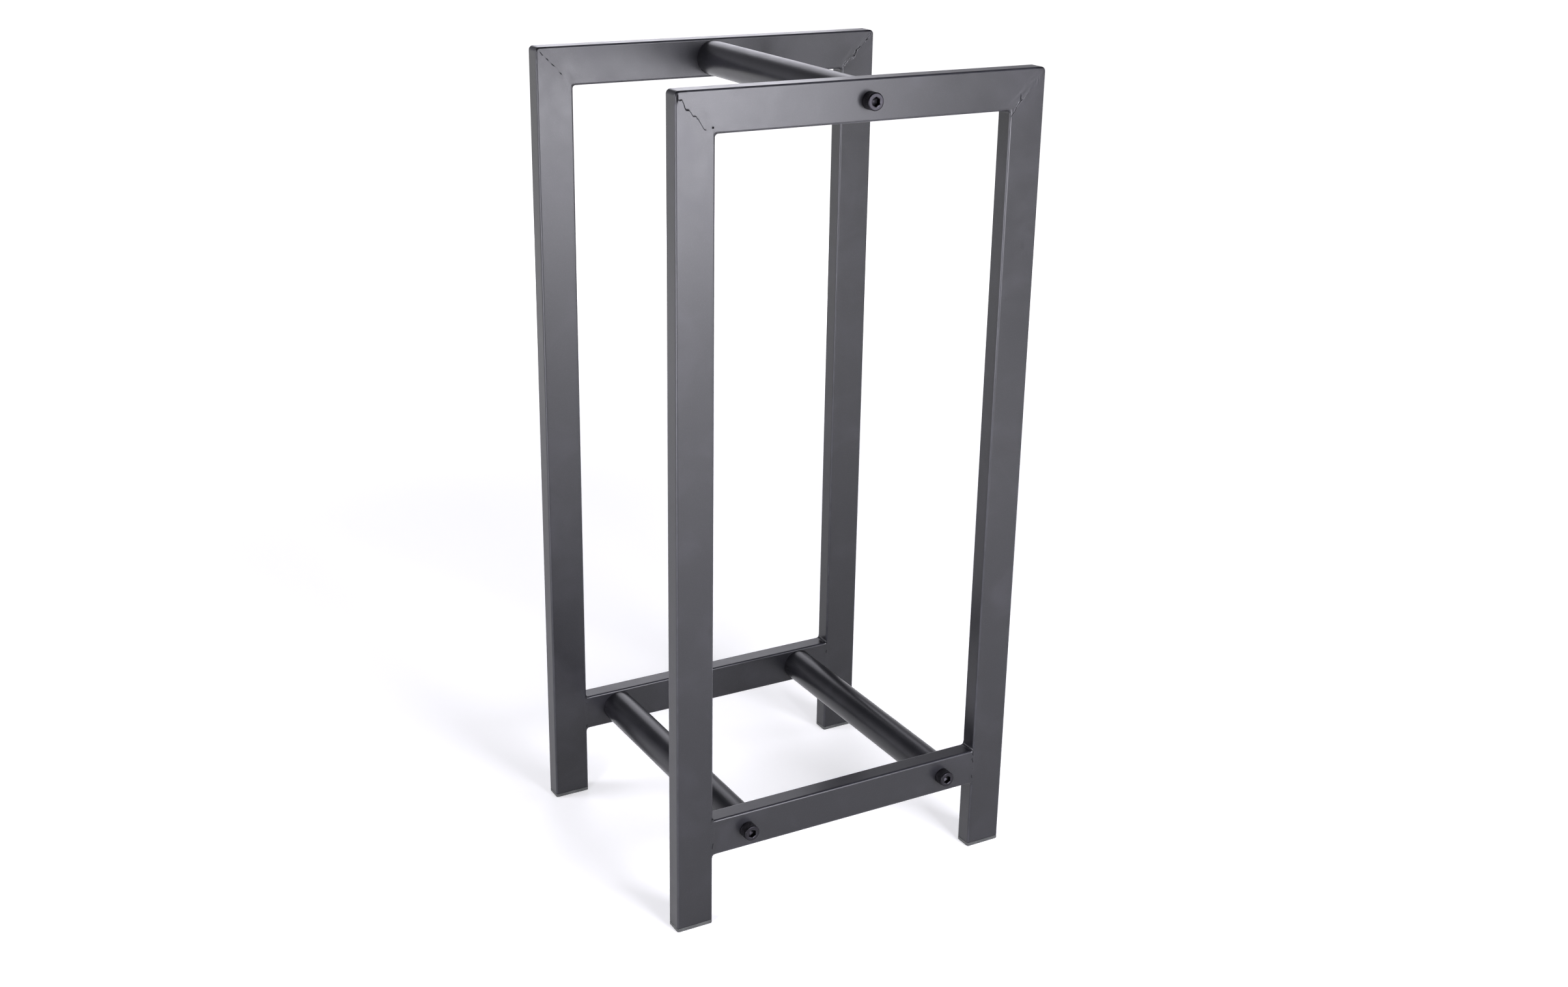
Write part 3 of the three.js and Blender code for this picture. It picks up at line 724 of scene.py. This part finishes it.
for end, way in (("front", -1), ("rear", 1)):
    for place_name in ("top", "lower_left", "lower_right"):
        node = f"{end}_{place_name}_cap_screw"
        low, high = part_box(node)
        head_end = max(abs(low.y), abs(high.y))
        length = head_end - HEAD_HEIGHT - min(abs(low.y), abs(high.y))
        heights, radii, polish = cap_screw_profile(length)
        piece = turned_hoop(node + "_turned", (low.x + high.x) / 2, (low.z + high.z) / 2, radii,
                            way * (head_end - HEAD_HEIGHT + heights), SCREW_STEPS, False,
                            {"polish": polish})
        piece.data.materials.append(black_oxide)
        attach(piece, "root")
        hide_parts(node)


# ---------------------------------------------------------------------------------------------
# Foot caps. A 3 mm plate closes the open end of each leg and keeps the steel off the floor. Its
# hollow ribbed spigot is pushed up inside the tube.
PLATE_HEIGHT = 3.0 * MM
PLATE_EDGE = 0.6 * MM
UNDERSIDE_HOLLOW = 0.35 * MM
CAP_LEAST_RADIUS = 0.3 * MM
CAP_FACE_STEPS = 6
CAP_SIDE_STEPS = 4
SPIGOT_TOP_CHAMFER = 1.0 * MM
SPIGOT_INSET = 2.3 * MM
SPIGOT_WALL = 2.0 * MM
SPIGOT_RIB = 0.25 * MM
SPIGOT_RIB_SPACING = 3.0 * MM

# Injection-moulded polypropylene, charcoal: a soft matt plastic, a little warmer and greyer than
# the coat, with a spark-eroded grain that really is 0.15 mm and is drawn 0.5 mm.
PLASTIC_COLOUR = "#343534"
PLASTIC_SCUFF_COLOUR = "#494a48"
PLASTIC_IOR = 1.49
SPARK_GRAIN_SIZE = 0.5 * MM
SPARK_GRAIN_HEIGHT = 0.02 * MM
RUB_SIZE = 5.0 * MM
moulded_plastic, tree, place = start_finish("moulded_charcoal_polypropylene")
grit = add_node(tree, "ShaderNodeTexNoise", {},
                {"Vector": place, "Scale": 1 / SPARK_GRAIN_SIZE, "Detail": 2.0})
rub = add_node(tree, "ShaderNodeTexNoise", {},
               {"Vector": place, "Scale": 1 / RUB_SIZE, "Detail": 4.0})
rub_share = add_node(tree, "ShaderNodeMapRange", {},
                     {"Value": rub.outputs["Fac"], "From Min": 0.45, "From Max": 0.75})
plastic_colour = add_node(tree, "ShaderNodeMix", {"data_type": "RGBA"},
                          {0: rub_share.outputs[0], 6: linear(PLASTIC_COLOUR),
                           7: linear(PLASTIC_SCUFF_COLOUR)})
plastic_roughness = add_node(tree, "ShaderNodeMapRange", {},
                             {"Value": rub.outputs["Fac"], "To Min": 0.48, "To Max": 0.64})
plastic_bump = add_node(tree, "ShaderNodeBump", {},
                        {"Height": grit.outputs["Fac"], "Distance": SPARK_GRAIN_HEIGHT})
plastic_shader = add_node(tree, "ShaderNodeBsdfPrincipled", {},
                          {"Base Color": plastic_colour.outputs[2],
                           "Roughness": plastic_roughness.outputs[0],
                           "Normal": plastic_bump.outputs[0], "Metallic": 0.0,
                           "IOR": PLASTIC_IOR})
add_node(tree, "ShaderNodeOutputMaterial", {}, {"Surface": plastic_shader.outputs[0]})


def foot_cap(node):
    """A foot cap as loops of the tube's section, drawn in by an inset at each height: a shallow
    hollow under the plate, its rounded rim and top, the ribbed spigot, and down inside it."""
    low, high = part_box(node)
    top = high.z - low.z
    turn = np.linspace(0, math.pi / 2, 5)
    stations = [(3.0 * MM, UNDERSIDE_HOLLOW), (2.6 * MM, UNDERSIDE_HOLLOW), (1.9 * MM, 0.0)]
    stations += list(zip(PLATE_EDGE * (1 - np.sin(turn)), PLATE_EDGE * (1 - np.cos(turn))))
    stations += [(0.0, PLATE_HEIGHT - 0.3 * MM), (0.25 * MM, PLATE_HEIGHT),
                 (SPIGOT_INSET, PLATE_HEIGHT)]
    rib_heights = np.arange(PLATE_HEIGHT + SPIGOT_RIB_SPACING / 2, top - 2 * SPIGOT_TOP_CHAMFER,
                            SPIGOT_RIB_SPACING / 2)
    stations += [(SPIGOT_INSET + SPIGOT_RIB * (i % 2), height)
                 for i, height in enumerate(rib_heights)]
    inside = SPIGOT_INSET + SPIGOT_WALL
    stations += [(SPIGOT_INSET, top - SPIGOT_TOP_CHAMFER), (SPIGOT_INSET + SPIGOT_TOP_CHAMFER, top),
                 (inside, top), (inside, PLATE_HEIGHT + 0.4 * MM),
                 (inside + 0.4 * MM, PLATE_HEIGHT)]
    rings = []
    for inset, height in stations:
        loop, _ = rounded_loop(FACE_WIDTH - 2 * inset, SIDE_DEPTH - 2 * inset,
                               max(TUBE_EDGE_RADIUS - inset, CAP_LEAST_RADIUS),
                               CAP_FACE_STEPS, CAP_SIDE_STEPS)
        rings.append(np.stack([low.x + inset + loop[:, 0], (low.y + high.y) / 2 + loop[:, 1],
                               low.z + height + 0 * loop[:, 0]], axis=1))
    piece = skin(node + "_moulded", np.array(rings), False, {})
    piece.data.materials.append(moulded_plastic)
    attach(piece, "root")
    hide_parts(node)


for end in ("front", "rear"):
    for side in ("left", "right"):
        foot_cap(f"{end}_{side}_foot_cap")


# ---------------------------------------------------------------------------------------------
# Studio. A pale floor of opal acrylic lit from below, more strongly away from the rack, and a
# surround light at the horizon and dim overhead. A large soft box stands in front, a narrow low
# one gives the left edges their bright line, and weaker ones stand round the rack.
FLOOR_HALF = 30.0
FLOOR_DROP = 0.3 * MM
FLOOR_COLOUR = "#f4f4f3"
FLOOR_SHADE_COLOUR = "#eeeeed"
FLOOR_GLOW = 0.36
FAR_FLOOR_GLOW = 1.02
GLOW_RISE_START = 0.75
GLOW_RISE_END = 2.0
FLOOR_MOTTLES_PER_METRE = 2.0
floor_material, tree, place = start_finish("lit_opal_white_acrylic")
mottle = add_node(tree, "ShaderNodeTexNoise", {},
                  {"Vector": place, "Scale": FLOOR_MOTTLES_PER_METRE, "Detail": 2.0})
floor_colour = add_node(tree, "ShaderNodeMix", {"data_type": "RGBA"},
                        {0: mottle.outputs["Fac"], 6: linear(FLOOR_COLOUR),
                         7: linear(FLOOR_SHADE_COLOUR)})
from_rack = add_node(tree, "ShaderNodeVectorMath", {"operation": "LENGTH"}, {0: place})
floor_glow = add_node(tree, "ShaderNodeMapRange", {"interpolation_type": "SMOOTHSTEP"},
                      {"Value": from_rack.outputs["Value"], "From Min": GLOW_RISE_START,
                       "From Max": GLOW_RISE_END, "To Min": FLOOR_GLOW, "To Max": FAR_FLOOR_GLOW})
floor_shader = add_node(tree, "ShaderNodeBsdfPrincipled", {},
                        {"Base Color": floor_colour.outputs[2], "Roughness": 0.9,
                         "Specular IOR Level": 0.2, "Emission Color": linear(FLOOR_COLOUR),
                         "Emission Strength": floor_glow.outputs[0]})
add_node(tree, "ShaderNodeOutputMaterial", {}, {"Surface": floor_shader.outputs[0]})
floor_mesh = bpy.data.meshes.new("studio_floor")
floor_corners = [(x * FLOOR_HALF, y * FLOOR_HALF, -FLOOR_DROP)
                 for x, y in ((-1, -1), (1, -1), (1, 1), (-1, 1))]
floor_mesh.from_pydata(floor_corners, [], [(0, 1, 2, 3)])
floor_mesh.materials.append(floor_material)
floor = bpy.data.objects.new("studio_floor", floor_mesh)
bpy.context.scene.collection.objects.link(floor)

HORIZON_GLOW = 1.0
LOW_SKY_GLOW = 0.58
ZENITH_GLOW = 0.08
HORIZON_FADE = (0.02, 0.12)
SKY_FADE = (0.28, 0.60)
STUDIO_LIGHT_COLOUR = "#f6f5ff"
world = bpy.data.worlds.new("studio_surround")
world.use_nodes = True
tree = world.node_tree
tree.nodes.clear()
heading = add_node(tree, "ShaderNodeTexCoord", {}, {}).outputs["Generated"]
height = add_node(tree, "ShaderNodeSeparateXYZ", {}, {"Vector": heading})
low_sky = add_node(tree, "ShaderNodeMapRange", {"interpolation_type": "SMOOTHSTEP"},
                   {"Value": height.outputs["Z"], "From Min": HORIZON_FADE[0],
                    "From Max": HORIZON_FADE[1], "To Min": HORIZON_GLOW, "To Max": LOW_SKY_GLOW})
glow = add_node(tree, "ShaderNodeMapRange", {"interpolation_type": "SMOOTHSTEP"},
                {"Value": height.outputs["Z"], "From Min": SKY_FADE[0], "From Max": SKY_FADE[1],
                 "To Min": low_sky.outputs[0], "To Max": ZENITH_GLOW})
surround = add_node(tree, "ShaderNodeBackground", {},
                    {"Color": linear(STUDIO_LIGHT_COLOUR), "Strength": glow.outputs[0]})
add_node(tree, "ShaderNodeOutputWorld", {}, {"Surface": surround.outputs[0]})
bpy.context.scene.world = world


def soft_box(name, place, aim, width, height, power):
    """A rectangular soft box at a place, facing the point it is aimed at. The camera doesn't see
    it. Sizes are in metres and the power in watts."""
    light = bpy.data.lights.new(name, "AREA")
    light.shape = "RECTANGLE"
    light.size = width
    light.size_y = height
    light.energy = power
    light.color = linear(STUDIO_LIGHT_COLOUR)[:3]
    lamp = bpy.data.objects.new(name, light)
    bpy.context.scene.collection.objects.link(lamp)
    lamp.rotation_euler = (Vector(aim) - Vector(place)).to_track_quat("-Z", "Y").to_euler()
    lamp.location = place
    lamp.visible_camera = False


soft_box("front_soft_box", (0.38, -1.60, 0.67), (0.38, 0.0, 0.67), 0.9, 1.0, 54.0)
soft_box("left_low_box", (-1.10, -0.68, 0.25), (-0.15, -0.13, 0.45), 0.24, 0.42, 12.0)
soft_box("left_soft_box", (-2.0, 0.8, 0.9), (0.0, 0.0, 0.35), 1.0, 1.2, 32.0)
soft_box("right_soft_box", (2.2, -0.2, 0.8), (0.0, 0.0, 0.4), 1.0, 1.1, 12.0)
soft_box("rear_soft_box", (0.8, 2.2, 0.8), (0.0, 0.0, 0.5), 1.0, 1.0, 7.0)
soft_box("rear_high_box", (0.9, 2.2, 1.8), (0.0, 0.0, 0.5), 1.2, 0.8, 6.0)

# The camera stands about 1.5 m off, left of the front and above the top, and looks down at the
# rack. Its angles are in radians and its lens and sensor in millimetres.
CAMERA_PLACE = (-0.7038, -1.2395, 0.8269)
CAMERA_YAW = 0.5219
CAMERA_PITCH = -0.3579
CAMERA_ROLL = 0.0180
CAMERA_LENS = 43.39
CAMERA_SENSOR = 36.0
forward = Vector((math.sin(CAMERA_YAW) * math.cos(CAMERA_PITCH),
                  math.cos(CAMERA_YAW) * math.cos(CAMERA_PITCH), math.sin(CAMERA_PITCH)))
level = Vector((math.cos(CAMERA_YAW), -math.sin(CAMERA_YAW), 0))
upward = level.cross(forward)
right = level * math.cos(CAMERA_ROLL) + upward * math.sin(CAMERA_ROLL)
top = upward * math.cos(CAMERA_ROLL) - level * math.sin(CAMERA_ROLL)
camera_data = bpy.data.cameras.new("camera")
camera_data.lens = CAMERA_LENS
camera_data.sensor_width = CAMERA_SENSOR
camera_data.sensor_fit = "HORIZONTAL"
camera_data.clip_start = 0.05
camera_data.clip_end = 100.0
camera = bpy.data.objects.new("camera", camera_data)
bpy.context.scene.collection.objects.link(camera)
camera_turn = Matrix((right, top, -forward)).transposed().to_4x4()
camera.matrix_world = Matrix.Translation(CAMERA_PLACE) @ camera_turn
bpy.context.scene.camera = camera
bpy.context.scene.view_settings.view_transform = "Standard"

bpy.context.view_layer.update()
